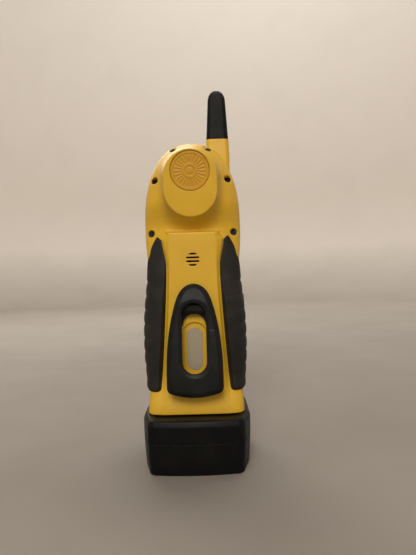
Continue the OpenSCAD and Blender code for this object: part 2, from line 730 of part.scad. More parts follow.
module cell_tabs() color(steel) {
    for (x = [-1, 1]) bar(x * 14.4 - 10, x * 14.4 + 10, -26.35, -26.22, 7, 12.4);
    bar(-10, 10, cell_len - 26.19, cell_len - 26.05, 7, 12.4);
}

module pack_foam() color([0.55, 0.55, 0.52]) bar(-26, 26, -18, 18, 17, 18.6);

module pack_terminals() color(brass) for (x = blade_x) {
    bar(x - 0.95, x - 0.6, -5.4, -0.6, 36, 47.5);
    bar(x - 0.95, x + 3, -5.4, -0.6, 35.6, 36);
}

module pack_screws() color(steel) both_sides() for (p = pack_screw_at) difference() {
    union() {
        rod_z(p[0], p[1], 1.9, 1.6, 3.38);
        rod_z(p[0], p[1], 1.2, 3, 28);
    }
    translate([p[0], p[1], 1.6]) for (a = [0, 90]) rotate([0, 0, a]) cube([2.6, 0.6, 1.4], center = true);
}

module pack_latch() color([0.24, 0.24, 0.23]) {
    along_y(-29.4, -25) polygon([for (p = round_rect(latch_hx, 4.4, 1.5)) [p[0], p[1] + 25.4]]);
    bar(-6.5, 6.5, -25.1, -16.4, 23.5, 25.5);
    bar(-6.5, 6.5, -18.4, -16.4, 23.5, 43);
    bar(-4, 4, -20, -18.3, 40.4, 42.6);
}

// ---- assembly -------------------------------------------------------------------------------------------

rear_cover();
front_cover();
cover_seal();
cover_screws();
left_grip();
right_grip();
emblem_disc();
rating_label();
antenna_sleeve();
antenna_ferrule();
antenna_core();
antenna_coil();
clip_bracket();
clip_pin();
clip_spring();
clip_screws();
sounder();
face_panel();
display_lens();
display_module();
key_board();
keypad_mat();
speaker_frame();
speaker_cone();
speaker_magnet();
main_board();
board_screws();
shield_can();
microphone();
ptt_switch();
contact_block();
contact_blades();
belt_clip();
pack_base();
pack_lid();
battery_cells();
cell_tabs();
pack_foam();
pack_terminals();
pack_screws();
pack_latch();
power_key();
menu_key();
up_key();
down_key();
call_key();
scan_key();
ptt_button();
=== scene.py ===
"""Looks for a hand-held two way radio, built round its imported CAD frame.

Every smooth moulding is a signed distance field in millimetres, meshed by surface nets and then drawn
onto the exact surface. The frame's own axes hold: +Z up, -Y the key side, +Y the belt clip side.
"""

import json
import math

import bpy
import numpy as np
from mathutils import Matrix, Vector


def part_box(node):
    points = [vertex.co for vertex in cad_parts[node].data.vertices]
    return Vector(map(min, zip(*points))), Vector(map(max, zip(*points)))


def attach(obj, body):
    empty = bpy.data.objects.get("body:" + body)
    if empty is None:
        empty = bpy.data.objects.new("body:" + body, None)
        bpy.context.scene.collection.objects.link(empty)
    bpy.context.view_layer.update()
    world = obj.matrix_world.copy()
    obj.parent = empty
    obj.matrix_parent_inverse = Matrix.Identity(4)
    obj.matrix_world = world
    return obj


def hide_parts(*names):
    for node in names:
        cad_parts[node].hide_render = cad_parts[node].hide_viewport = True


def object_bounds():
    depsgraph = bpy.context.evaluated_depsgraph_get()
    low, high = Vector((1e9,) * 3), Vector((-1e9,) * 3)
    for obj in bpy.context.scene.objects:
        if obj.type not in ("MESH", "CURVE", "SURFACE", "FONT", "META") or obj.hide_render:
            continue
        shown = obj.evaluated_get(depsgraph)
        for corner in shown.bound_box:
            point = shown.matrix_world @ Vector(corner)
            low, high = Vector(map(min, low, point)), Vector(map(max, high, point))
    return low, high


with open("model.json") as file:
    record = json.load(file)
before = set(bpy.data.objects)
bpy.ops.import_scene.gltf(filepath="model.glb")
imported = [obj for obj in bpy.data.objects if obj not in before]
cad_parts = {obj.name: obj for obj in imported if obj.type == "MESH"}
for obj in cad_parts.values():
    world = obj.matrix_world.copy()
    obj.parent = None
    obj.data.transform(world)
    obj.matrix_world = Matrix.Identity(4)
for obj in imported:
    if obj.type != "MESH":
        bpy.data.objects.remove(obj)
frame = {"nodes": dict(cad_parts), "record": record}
cad_low, cad_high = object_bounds()
MM = 0.001
RECORD_SLOT = {row["node"]: row["material_slot"] for row in frame["record"]["subparts"]}


def cad_box(node):
    """Lowest and highest corner of a CAD node, in millimetres."""
    low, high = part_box(node)
    return np.array(low) / MM, np.array(high) / MM


# ---- meshing --------------------------------------------------------------------------------------

MARGIN_CELLS = 1.6      # cells kept clear round each piece
DRAW_PASSES, DRAW_SHARE = 4, 0.3
DRAW_REACH, NORMAL_REACH = 0.04, 0.12
LEAST_SLOPE = 0.25
# Grid steps in millimetres; CLIP_STEP serves the front plate too
SHELL_STEP, GRIP_STEP, PACK_STEP, CLIP_STEP, FINE_STEP = 0.6, 0.45, 0.55, 0.42, 0.4
KEY_STEP, TALK_STEP, EMBLEM_STEP, LABEL_STEP = 0.28, 0.35, 0.3, 0.16


# ---- numbers shared by the mouldings, in millimetres -------------------------------------------

SEAM_Y = -5.0
SEAM_GAP = 0.6
HEAD_Z = 157.0
HEAD_TOP = cad_box("rear_cover")[1][2]
HEAD_HW = cad_box("front_cover")[1][0]
HEAD_POWER = 2.3
FOOT_Z = cad_box("rear_cover")[0][2]
FOOT_HW, WAIST_HW = 31.6, 30.4
FRONT_DEPTH = 19.5
WALL = 2.2
SLAB_Y, SLAB_TOP = 13.0, 150.0
EMBLEM_Z, FACE_Y, FACE_TILT = 186.8, 25.7, math.radians(9.7)
PLATEAU_R, UPPER_ARC, LOWER_ARC = 16.8, 3.6, 11.3
RECESS_R, RECESS_DEPTH = 12.4, 1.4
SCREW_HOLES = ((11.6, 206.0), (24.2, 185.5), (27.6, 150.7))
WELL_R, SHANK_R, REAR_BOSS_R, FRONT_BOSS_R, WELL_FLOOR = 2.3, 1.4, 3.6, 3.2, -1.5
SEAM_EDGE, FOOT_EDGE = 0.6, 0.35
SLOT_Z, SLOT_R, SLOT_T, SLOT_PITCH = 132.5, 4.35, 1.1, 2.45
LABEL_Z, LABEL_HW, LABEL_HALF = 74.6, 5.1, 13.85
ANT_X, ANT_Y, ANT_BASE_TOP, SLEEVE_DOME = -18.6, -12.0, 216.6, 243.5
ANT_TOP = cad_high[2] / MM
PIN_Y, PIN_Z = 16.2, 106.0
CLIP_TOP, CLIP_HW = 116.6, 17.7
PACK_HW, PACK_HD, PACK_H = cad_high[0] / MM, cad_high[1] / MM, 33.0
PACK_SPLIT = 19.0
PANEL_Z, PANEL_HX, PANEL_HZ = 97.0, 20.0, 50.5
PANEL_BACK = -23.8
WINDOW_Z, WINDOW_HX, WINDOW_HZ = 122.0, 15.0, 12.0
SPEAKER_Z = 176.0
MIC = (12.0, 52.5)


# ---- field helpers -------------------------------------------------------------------------------

def clamp01(t):
    return np.clip(t, 0.0, 1.0)


def ease(a, b, t):
    t = clamp01((t - a) / (b - a))
    return t * t * (3 - 2 * t)


def mix(a, b, t):
    return a + (b - a) * t


def join(a, b, k):
    """Union with a fillet of about k."""
    h = clamp01(0.5 + 0.5 * (b - a) / k)
    return b + (a - b) * h - k * h * (1 - h)


def meet(a, b, k):
    """Intersection with a rounded edge of about k."""
    return -join(-a, -b, k)


def carve(a, b, k):
    """a with b cut out of it, the new edge rounded by k."""
    return meet(a, -b, k)


def box2(u, v, hu, hv, r):
    """Distance to a rectangle of half sizes hu, hv with corners of radius r."""
    du, dv = np.abs(u) - hu + r, np.abs(v) - hv + r
    return np.hypot(np.maximum(du, 0), np.maximum(dv, 0)) + np.minimum(np.maximum(du, dv), 0) - r


def slot2(u, v, half_length, r):
    """Distance to an obround along v."""
    return np.hypot(u, v - np.clip(v, r - half_length, half_length - r)) - r


def slab(t, low, high):
    return np.maximum(low - t, t - high)


def surface_nets(field, low, high, step):
    """Vertices and quads of the field's zero surface, from a grid of cells of the given step."""
    axes = [a + step * np.arange(int(math.ceil((b - a) / step)) + 1) for a, b in zip(low, high)]
    x, y, z = axes
    f = np.broadcast_to(field(x[:, None, None], y[None, :, None], z[None, None, :]),
                        (len(x), len(y), len(z))).astype(np.float32)
    inside = f < 0
    count = sum(inside[i:len(x) - 1 + i, j:len(y) - 1 + j, k:len(z) - 1 + k].astype(np.int8)
                for i in (0, 1) for j in (0, 1) for k in (0, 1))
    cells = np.argwhere((count > 0) & (count < 8))
    index = np.full(count.shape, -1, np.int64)
    index[tuple(cells.T)] = np.arange(len(cells))
    total = np.zeros((len(cells), 3))
    hits = np.zeros(len(cells))
    corner = {c: f[cells[:, 0] + c[0], cells[:, 1] + c[1], cells[:, 2] + c[2]]
              for c in np.ndindex(2, 2, 2)}
    for axis in range(3):
        for a in corner:
            if a[axis]:
                continue
            b = tuple(v + (n == axis) for n, v in enumerate(a))
            fa, fb = corner[a], corner[b]
            cut = (fa < 0) != (fb < 0)
            t = np.where(cut, fa / np.where(cut, fa - fb, 1), 0)
            point = np.tile(np.array(a, float), (len(cells), 1))
            point[:, axis] += t
            total += point * cut[:, None]
            hits += cut
    points = (cells + total / hits[:, None]) * step + np.array(low)
    quads = []
    for axis in range(3):
        first = [slice(1, -1)] * 3
        second = [slice(1, -1)] * 3
        first[axis] = slice(0, -1)
        second[axis] = slice(1, None)
        a, b = inside[tuple(first)], inside[tuple(second)]
        u, v = [n for n in range(3) if n != axis]
        for rising in (True, False):
            edge = np.argwhere((a & ~b) if rising else (~a & b))
            edge[:, u] += 1
            edge[:, v] += 1
            around = []
            for du, dv in ((1, 1), (0, 1), (0, 0), (1, 0)):
                cell = edge.copy()
                cell[:, u] -= du
                cell[:, v] -= dv
                around.append(index[tuple(cell.T)])
            quad = np.stack(around, 1)
            flip = rising == (axis == 1)
            quads.append(quad[:, ::-1] if flip else quad)
    return points, np.concatenate(quads)


def gradient(field, p, reach):
    """The field's gradient at points p, by differences over reach."""
    out = np.empty_like(p)
    for n in range(3):
        up, down = p.copy(), p.copy()
        up[:, n] += reach
        down[:, n] -= reach
        out[:, n] = field(*up.T) - field(*down.T)
    return out / (2 * reach)


def draw_onto(field, p, step):
    """Moves points onto the zero surface, at most a share of a cell each time."""
    most = DRAW_SHARE * step
    for _ in range(DRAW_PASSES):
        g = gradient(field, p, DRAW_REACH)
        size = np.maximum(np.linalg.norm(g, axis=1), LEAST_SLOPE)
        move = field(*p.T) / size
        p = p - g / size[:, None] * np.clip(move, -most, most)[:, None]
    return p


def mesh_object(name, verts, faces, normals=None):
    """A smooth shaded object from vertices in metres."""
    mesh = bpy.data.meshes.new(name)
    mesh.vertices.add(len(verts))
    mesh.vertices.foreach_set("co", np.asarray(verts, np.float32).ravel())
    faces = np.asarray(faces, np.int32)
    mesh.loops.add(faces.size)
    mesh.loops.foreach_set("vertex_index", faces.ravel())
    mesh.polygons.add(len(faces))
    mesh.polygons.foreach_set("loop_start", np.arange(0, faces.size, faces.shape[1], dtype=np.int32))
    mesh.polygons.foreach_set("use_smooth", np.ones(len(faces), bool))
    mesh.update(calc_edges=True)
    mesh.validate()
    if normals is not None and len(mesh.polygons) == len(faces):
        mesh.normals_split_custom_set_from_vertices(normals.astype(np.float32))
    obj = bpy.data.objects.new(name, mesh)
    bpy.context.scene.collection.objects.link(obj)
    return obj


def mould(name, field, low, high, step, material, body, replaces):
    """A piece meshed from a distance field between two corners, riding on its body."""
    step = step * 1.0
    margin = MARGIN_CELLS * step
    points, quads = surface_nets(field, [v - margin for v in low], [v + margin for v in high], step)
    points = draw_onto(field, points, step)
    normals = gradient(field, points, NORMAL_REACH)
    normals /= np.maximum(np.linalg.norm(normals, axis=1), 1e-9)[:, None]
    obj = mesh_object(name, points * MM, quads, normals)
    obj.data.materials.append(material)
    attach(obj, body)
    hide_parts(*replaces)


# ---- materials -------------------------------------------------------------------------------------

def srgb(r, g, b):
    """Linear colour from 0 to 255 sRGB."""
    def one(v):
        v /= 255
        return v / 12.92 if v <= 0.04045 else ((v + 0.055) / 1.055) ** 2.4
    return one(r), one(g), one(b), 1.0


EDGE_FROM, EDGE_TO = 0.52, 0.62    # pointiness where an outer edge starts and is full


class Nodes:
    """Short calls for building one material's node tree."""

    def __init__(self, name):
        self.material = bpy.data.materials.new(name)
        self.material.use_nodes = True
        self.tree = self.material.node_tree
        self.shader = self.tree.nodes["Principled BSDF"]
        self.place = self.add("ShaderNodeTexCoord").outputs["Object"]

    def add(self, kind, **settings):
        node = self.tree.nodes.new(kind)
        for key, value in settings.items():
            setattr(node, key, value)
        return node

    def link(self, source, node, socket):
        self.tree.links.new(source, node.inputs[socket])
        return node

    def noise(self, scale, detail=2.0, rough=0.5, stretch=None):
        node = self.add("ShaderNodeTexNoise")
        node.inputs["Scale"].default_value = scale
        node.inputs["Detail"].default_value = detail
        node.inputs["Roughness"].default_value = rough
        place = self.place
        if stretch:
            mapping = self.link(place, self.add("ShaderNodeMapping"), "Vector")
            mapping.inputs["Scale"].default_value = stretch
            place = mapping.outputs["Vector"]
        self.link(place, node, "Vector")
        return node.outputs["Fac"]

    def span(self, value, low, high, to_low=0.0, to_high=1.0):
        node = self.add("ShaderNodeMapRange")
        limits = {"From Min": low, "From Max": high, "To Min": to_low, "To Max": to_high}
        for key, number in limits.items():
            node.inputs[key].default_value = number
        self.link(value, node, "Value")
        return node.outputs["Result"]

    def math(self, operation, a, b):
        node = self.add("ShaderNodeMath", operation=operation)
        for n, value in enumerate((a, b)):
            if isinstance(value, (int, float)):
                node.inputs[n].default_value = value
            else:
                self.tree.links.new(value, node.inputs[n])
        return node.outputs[0]

    def blend(self, amount, a, b):
        """Colour a going to b; each is a colour or a socket."""
        node = self.add("ShaderNodeMix", data_type="RGBA")
        self.tree.links.new(amount, node.inputs["Factor"])
        for socket, value in ((node.inputs[6], a), (node.inputs[7], b)):
            if isinstance(value, tuple):
                socket.default_value = value
            else:
                self.tree.links.new(value, socket)
        return node.outputs[2]

    def edges(self):
        """1 on outer edges, 0 on flats."""
        node = self.add("ShaderNodeNewGeometry")
        return self.span(node.outputs["Pointiness"], EDGE_FROM, EDGE_TO)

    def colour(self, value):
        self.tree.links.new(value, self.shader.inputs["Base Color"])

    def roughness(self, value):
        self.tree.links.new(value, self.shader.inputs["Roughness"])

    def bump(self, height, distance):
        node = self.add("ShaderNodeBump")
        node.inputs["Distance"].default_value = distance
        node.inputs["Strength"].default_value = 1.0
        self.link(height, node, "Height")
        self.tree.links.new(node.outputs["Normal"], self.shader.inputs["Normal"])

    def set(self, **sockets):
        for key, value in sockets.items():
            self.shader.inputs[key.replace("_", " ")].default_value = value


DUST = srgb(150, 142, 128)


def tint(colour, factor):
    return tuple(min(1.0, c * factor) for c in colour[:3]) + (1.0,)


def moulded(name, colour, rough=(0.4, 0.5), grain=2400.0, depth=0.00002, mottle=0.08, edge=0.14,
            specular=0.5, dust=0.0):
    """Moulded plastic or rubber: soft mottling, spark-eroded grain, rubbed edges and a little dust."""
    n = Nodes(name)
    patches = n.noise(38.0, 3.0, 0.55)
    base = n.blend(n.span(patches, 0.35, 0.65), tint(colour, 1 - mottle), tint(colour, 1 + mottle))
    specks = n.noise(900.0, 2.0, 0.6)
    base = n.blend(n.span(specks, 0.62, 0.78, 0.0, 0.25), base, tint(colour, 0.82))
    if dust:
        film = n.math("MULTIPLY", n.span(n.noise(60.0, 5.0, 0.65), 0.48, 0.72), dust)
        base = n.blend(film, base, DUST)
    base = n.blend(n.math("MULTIPLY", n.edges(), edge), base, tint(colour, 1.6))
    n.colour(base)
    n.roughness(n.span(n.noise(130.0, 4.0, 0.6), 0.3, 0.7, rough[0], rough[1]))
    n.bump(n.noise(grain, 2.0, 0.55), depth)
    n.set(Specular_IOR_Level=specular)
    return n.material


def metal(name, colour, rough=(0.28, 0.42)):
    """Metal with fine brushing along Z."""
    n = Nodes(name)
    streaks = n.noise(260.0, 3.0, 0.6, stretch=(1.0, 1.0, 30.0))
    n.colour(n.blend(streaks, tint(colour, 0.86), tint(colour, 1.1)))
    n.roughness(n.span(streaks, 0.3, 0.7, rough[0], rough[1]))
    n.bump(streaks, 0.00001)
    n.set(Metallic=1.0)
    return n.material


def foil_label():
    """Dull brushed foil, left blank."""
    n = Nodes("label_foil")
    streaks = n.noise(420.0, 3.0, 0.6, stretch=(8.0, 1.0, 1.0))
    n.colour(n.blend(streaks, srgb(158, 146, 122), srgb(186, 174, 150)))
    n.roughness(n.span(n.noise(300.0, 3.0), 0.3, 0.7, 0.38, 0.55))
    n.bump(n.noise(160.0, 3.0, 0.6), 0.00004)
    n.set(Metallic=0.35)
    return n.material


def circuit_board():
    n = Nodes("circuit_board")
    tracks = n.add("ShaderNodeTexVoronoi", feature="DISTANCE_TO_EDGE", distance="MANHATTAN")
    tracks.inputs["Scale"].default_value = 260.0
    n.link(n.place, tracks, "Vector")
    copper = n.span(tracks.outputs["Distance"], 0.02, 0.05)
    n.colour(n.blend(copper, srgb(52, 120, 74), srgb(24, 84, 48)))
    n.roughness(n.span(n.noise(500.0), 0.3, 0.7, 0.3, 0.42))
    n.bump(copper, 0.00002)
    return n.material


def clear_lens():
    """Clear window with a faint smear and fine scratches in its gloss."""
    n = Nodes("display_lens")
    smear = n.noise(90.0, 4.0, 0.65, stretch=(1.0, 1.0, 3.0))
    n.roughness(n.span(smear, 0.3, 0.75, 0.04, 0.16))
    n.bump(n.noise(50.0, 2.0), 0.00001)
    n.set(Base_Color=(0.82, 0.86, 0.84, 1.0), Transmission_Weight=1.0, IOR=1.45)
    return n.material


def display_face():
    """Grey-green liquid crystal face with a fine dot pitch."""
    n = Nodes("display_grey")
    dots = n.add("ShaderNodeTexVoronoi", feature="F1", distance="CHEBYCHEV")
    dots.inputs["Scale"].default_value = 2600.0
    dots.inputs["Randomness"].default_value = 0.0
    n.link(n.place, dots, "Vector")
    shade = n.span(n.noise(40.0, 2.0), 0.3, 0.7)
    face = n.blend(shade, srgb(132, 142, 116), srgb(146, 155, 128))
    n.colour(n.blend(n.span(dots.outputs["Distance"], 0.4, 0.5, 0.0, 0.25), face, srgb(112, 122, 98)))
    n.roughness(n.span(shade, 0.0, 1.0, 0.3, 0.38))
    return n.material


def porous(name, colour, scale, depth):
    """Foam, pressed paper and other open surfaces."""
    n = Nodes(name)
    pores = n.noise(scale, 4.0, 0.7)
    n.colour(n.blend(n.span(pores, 0.35, 0.6), tint(colour, 0.7), tint(colour, 1.1)))
    n.roughness(n.span(pores, 0.3, 0.7, 0.8, 0.95))
    n.bump(pores, depth)
    return n.material


YELLOW = srgb(214, 169, 40)
MOULDED = {
    "housing_plastic": dict(colour=YELLOW, rough=(0.42, 0.52), grain=2300.0, depth=0.000022,
                            mottle=0.04, edge=0.10, specular=0.4),
    "emblem_plastic": dict(colour=srgb(197, 146, 36), rough=(0.45, 0.58), grain=1500.0, depth=0.00003,
                           mottle=0.07, edge=0.25, specular=0.35),
    "seal_rubber": dict(colour=srgb(20, 19, 18), rough=(0.7, 0.85), grain=1600.0, specular=0.2),
    "grip_rubber": dict(colour=srgb(34, 32, 29), rough=(0.55, 0.7), grain=1500.0, depth=0.00004,
                        mottle=0.12, edge=0.3, specular=0.22, dust=0.05),
    "antenna_rubber": dict(colour=srgb(15, 14, 13), rough=(0.5, 0.62), grain=1700.0, depth=0.00003,
                           mottle=0.1, edge=0.2, specular=0.14, dust=0.02),
    "clip_plastic": dict(colour=srgb(18, 18, 18), rough=(0.42, 0.55), grain=1900.0, depth=0.00003,
                         mottle=0.08, edge=0.3, specular=0.2, dust=0.02),
    "panel_plastic": dict(colour=srgb(24, 24, 23), rough=(0.36, 0.48), grain=2100.0, depth=0.00002,
                          mottle=0.08, edge=0.25, specular=0.3),
    "pack_plastic": dict(colour=srgb(12, 11, 11), rough=(0.4, 0.52), grain=2000.0, depth=0.000025,
                         mottle=0.1, edge=0.3, specular=0.14, dust=0.012),
    "latch_plastic": dict(colour=srgb(40, 39, 37), rough=(0.45, 0.6), grain=1800.0),
    "inner_plastic": dict(colour=srgb(20, 20, 19), rough=(0.5, 0.6), specular=0.25),
    "nylon": dict(colour=srgb(214, 210, 196), rough=(0.4, 0.5)),
    "key_rubber": dict(colour=srgb(58, 57, 54), rough=(0.5, 0.62), grain=1500.0, depth=0.00003,
                       mottle=0.1, edge=0.3),
    "power_key_rubber": dict(colour=srgb(160, 44, 30), rough=(0.48, 0.6), grain=1500.0, depth=0.00003,
                             mottle=0.1, edge=0.3),
    "keypad_rubber": dict(colour=srgb(120, 120, 116), rough=(0.6, 0.75)),
    "cell_wrap": dict(colour=srgb(62, 118, 82), rough=(0.25, 0.35), grain=600.0, depth=0.00001),
}
PAINT = {name: moulded(name, **look) for name, look in MOULDED.items()}
PAINT.update({
    "screw_steel": metal("screw_steel", srgb(58, 55, 52), rough=(0.4, 0.55)),
    "inner_metal": metal("inner_metal", srgb(165, 167, 170)),
    "brass": metal("brass", srgb(196, 160, 88)),
    "label_foil": foil_label(),
    "circuit_board": circuit_board(),
    "display_lens": clear_lens(),
    "display_grey": display_face(),
    "speaker_paper": porous("speaker_paper", srgb(44, 44, 46), scale=900.0, depth=0.0001),
    "foam": porous("foam", srgb(128, 128, 120), scale=1400.0, depth=0.0002),
})


# ---- housing ---------------------------------------------------------------------------------------

def dome(z, power):
    t = np.clip((z - HEAD_Z) / (HEAD_TOP - HEAD_Z), 0, 0.9995)
    return (1 - t ** power) ** (1 / power)


def half_width(z):
    waist = mix(FOOT_HW, WAIST_HW, ease(FOOT_Z, 56, z))
    return mix(waist, HEAD_HW, ease(118, 150, z)) * dome(z, HEAD_POWER)


def rear_depth(z):
    low = mix(mix(21.7, 16, ease(FOOT_Z, 58, z)), 13, ease(120, 150, z))
    return mix(low, 20, ease(153, 172, z)) * dome(z, HEAD_POWER)


def rear_power(z):
    return mix(mix(7, 3.2, ease(FOOT_Z, 60, z)), HEAD_POWER, ease(110, 150, z))


def front_depth(z):
    return mix(FRONT_DEPTH, FRONT_DEPTH + 1.5, ease(118, 150, z)) * dome(z, 4)


def front_power(z):
    return mix(4, 3, ease(118, 160, z))


def barrel(x, y, z, depth_of, power_of, side, shrink=0.0):
    """Distance to the housing's swept superellipse; side is 1 behind the seam and -1 in front of it."""
    tiny = 1e-6
    ax, ay = np.abs(x) + tiny, np.abs(y - SEAM_Y - side * SEAM_GAP / 2) + tiny

    def terms(h):
        n = power_of(h)
        w = np.maximum(half_width(h) - shrink, 0.05)
        d = np.maximum(depth_of(h) - shrink, 0.05)
        return (ax / w) ** n, (ay / d) ** n

    n = power_of(z)
    a, b = terms(z)
    a1, b1 = terms(z + 0.05)
    a0, b0 = terms(z - 0.05)
    across = np.hypot(n * a / ax, n * b / ay) + tiny
    slope = np.hypot(across, np.clip((a1 - a0 + b1 - b0) / 0.1, -1.5 * across, 1.5 * across))
    total = np.minimum(a + b, 60.0)
    return n * (total - total ** ((n - 1) / n)) / slope


def face_frame(x, y, z):
    """Coordinates on the plateau's face: across, down the face, out of the face."""
    c, s = math.cos(FACE_TILT), math.sin(FACE_TILT)
    dy, dz = y - FACE_Y, z - EMBLEM_Z
    return x, -(dz * c + dy * s), dy * c - dz * s


def plateau(x, y, z):
    u, v, w = face_frame(x, y, z)
    lean = v - np.clip(v, UPPER_ARC, LOWER_ARC)
    out = np.hypot(u, lean)
    down = clamp01(lean / (out + 1e-6))
    draft = mix(0.20, 0.66, down * down)
    side = (out - PLATEAU_R + w * draft) / np.sqrt(1 + draft * draft)
    return meet(side, w, 0.5)


def slab_plate(x, y, z):
    """The raised spine below the head, flat on top with sloping flanks."""
    heights = (FOOT_Z, 46, 60, 92, 108, 128, SLAB_TOP - 4, SLAB_TOP)
    flat = np.interp(z, heights, (21, 19.6, 18.6, 17, 16, 15.3, 15.3, 15.3))
    root = np.interp(z, heights, (25, 22.3, 20.9, 18.6, 17.6, 17, 20, 17))
    face = mix(16.4, SLAB_Y, ease(FOOT_Z - 4, 60, z))
    run = (root - flat) / 3
    flank = (np.abs(x) - flat - (face - y) * run) / np.sqrt(1 + run * run)
    flank = meet(flank, np.abs(x) - root, 1.2)
    top = (z - SLAB_TOP - (SLAB_Y - y) * 0.25) * 0.97
    return meet(meet(flank, y - face, 0.7), top, 0.7)


def screw_bores(x, z):
    """Distance to the nearest cover screw's axis."""
    ax = np.abs(x)
    near = None
    for hx, hz in SCREW_HOLES:
        d = np.hypot(ax - hx, z - hz)
        near = d if near is None else np.minimum(near, d)
    return near


def screw_wells(x, z):
    """The wells that the screw heads sit in; the upper pair opens through the dome's slope above it."""
    hx, hz = SCREW_HOLES[0]
    opened = np.hypot(np.abs(x) - hx, np.minimum(z - hz, 0))
    return np.minimum(screw_bores(x, z), opened) - WELL_R


def rear_shell(x, y, z):
    body = barrel(x, y, z, rear_depth, rear_power, 1)
    outer = join(body, plateau(x, y, z), 5.0)
    outer = join(outer, slab_plate(x, y, z), 1.6)
    u, v, w = face_frame(x, y, z)
    recess = meet(np.hypot(u, v) - RECESS_R, -RECESS_DEPTH - w, 0.2)
    outer = carve(outer, recess, 0.35)
    pocket = np.maximum(slot2(x, z - LABEL_Z, 17, 8), SLAB_Y - 1.2 - y)
    outer = carve(outer, pocket, 0.5)
    screws = screw_bores(x, z)
    inner = barrel(x, y, z, rear_depth, rear_power, 1, WALL)
    inner = np.maximum(inner, z - HEAD_TOP + WALL)
    inner = carve(inner, screws - REAR_BOSS_R, 0.5)
    shell = np.maximum(outer, -inner)
    shell = carve(shell, np.maximum(screw_wells(x, z), WELL_FLOOR - y), 0.8)
    shell = carve(shell, screws - SHANK_R, 0.1)
    slots = None
    for k in (-1.5, -0.5, 0.5, 1.5):
        one = np.maximum(np.abs(z - SLOT_Z - k * SLOT_PITCH) - SLOT_T / 2,
                         np.hypot(x, z - SLOT_Z) - SLOT_R)
        slots = one if slots is None else np.minimum(slots, one)
    shell = carve(shell, np.maximum(slots, 2 - y), 0.3)
    shell = meet(shell, z - HEAD_TOP, 0.3)
    shell = meet(shell, SEAM_Y + SEAM_GAP / 2 - y, SEAM_EDGE)
    return meet(shell, FOOT_Z - z, FOOT_EDGE)


ANT_FOOT_Z, ANT_WAIST_Z, ANT_BORE_Z = 187.0, 205.0, 196.0
RING_R, RING_W, RING_DEPTH = 19.5, 0.8, 0.5
FRONT_CUT_Y, SIDE_CUT_X = -15.0, -24.0    # how deep the holes in the front and in the side go
MIC_R = 0.8
KEYS = {
    "menu_key": (-12.2, 84, 9.4, 7), "scan_key": (12.2, 84, 9.4, 7), "up_key": (0, 91.5, 11, 7),
    "down_key": (0, 78, 11, 7), "power_key": (-9.5, 64, 15, 7), "call_key": (9.5, 64, 15, 7)}
KEY_GAP = 0.35
PTT_Y, PTT_Z, PTT_HY, PTT_HZ = -11.0, 98.0, 3.4, 11.0


def key_holes(x, z, gap):
    near = None
    for kx, kz, w, h in KEYS.values():
        d = box2(x - kx, z - kz, w / 2 + gap, h / 2 + gap, 2)
        near = d if near is None else np.minimum(near, d)
    return near


def panel_outline(x, z):
    return box2(x, z - PANEL_Z, PANEL_HX, PANEL_HZ, 9)


def antenna_base(x, y, z):
    heights = (ANT_FOOT_Z, ANT_WAIST_Z, ANT_BASE_TOP)
    hx = np.interp(z, heights, (8.6, 8.2, 7.85))
    hy = np.interp(z, heights, (6.4, 6.2, 6.0))
    lean = 0.6 * clamp01((ANT_WAIST_Z - z) / (ANT_WAIST_Z - ANT_FOOT_Z))
    side = box2(x - ANT_X - lean, y - ANT_Y, hx, hy, 3.4)
    return meet(meet(side, z - ANT_BASE_TOP, 0.6), ANT_FOOT_Z - z, 0.8)


def speaker_slots(x, z):
    near = None
    for v in range(-12, 13, 4):
        d = box2(x, z - SPEAKER_Z - v, math.sqrt(256 - v * v), 0.9, 0.89)
        near = d if near is None else np.minimum(near, d)
    return near


def front_shell(x, y, z):
    body = barrel(x, y, z, front_depth, front_power, -1)
    base = antenna_base(x, y, z)
    outer = join(body, base, 2.4)
    rim = np.hypot(x, z - SPEAKER_Z) - RING_R
    outer = outer + RING_DEPTH * np.exp(-(rim / RING_W) ** 2)
    outer = carve(outer, np.maximum(panel_outline(x, z) - 0.2, y - PANEL_BACK), 0.4)
    inner = barrel(x, y, z, front_depth, front_power, -1, WALL)
    inner = np.maximum(inner, z - HEAD_TOP + WALL)
    inner = carve(inner, screw_bores(x, z) - FRONT_BOSS_R, 0.5)
    inner = carve(inner, base, 0.3)
    shell = np.maximum(outer, -inner)
    bore = np.maximum(np.hypot(x - ANT_X, y - ANT_Y) - 3.4, ANT_BORE_Z - z)
    shell = carve(shell, bore, 0.2)
    shell = carve(shell, np.maximum(speaker_slots(x, z), y - FRONT_CUT_Y), 0.35)
    window = box2(x, z - WINDOW_Z, WINDOW_HX, WINDOW_HZ, 3)
    openings = np.minimum(window, key_holes(x, z, KEY_GAP))
    shell = carve(shell, np.maximum(openings, y - FRONT_CUT_Y), 0.1)
    shell = carve(shell, np.maximum(np.hypot(x - MIC[0], z - MIC[1]) - MIC_R, y - FRONT_CUT_Y), 0.1)
    ptt = box2(y - PTT_Y, z - PTT_Z, PTT_HY + KEY_GAP, PTT_HZ + KEY_GAP, 2.6)
    shell = carve(shell, np.maximum(ptt, x - SIDE_CUT_X), 0.2)
    shell = np.maximum(shell, np.minimum(z - HEAD_TOP, base))
    shell = meet(shell, y - SEAM_Y + SEAM_GAP / 2, SEAM_EDGE)
    return meet(shell, FOOT_Z - z, FOOT_EDGE)


def build_housing():
    plastic = PAINT["housing_plastic"]
    mould("rear_shell", rear_shell, (-33, SEAM_Y, FOOT_Z), (33, 29.5, HEAD_TOP), SHELL_STEP,
          plastic, "housing", ["rear_cover"])
    mould("front_shell", front_shell, (-33, -26.8, FOOT_Z), (33, SEAM_Y, ANT_BASE_TOP), SHELL_STEP,
          plastic, "housing", ["front_cover"])


# ---- grips -----------------------------------------------------------------------------------------

GRIP_LOW, GRIP_TOP, GRIP_TIP_X = 45.4, 148.3, 23.2
GRIP_SHOULDER_Z, GRIP_SINK = 132.0, 0.9
RIB_PITCH, RIB_Z, RIB_DEPTH = 9.3, 62.5, 0.42


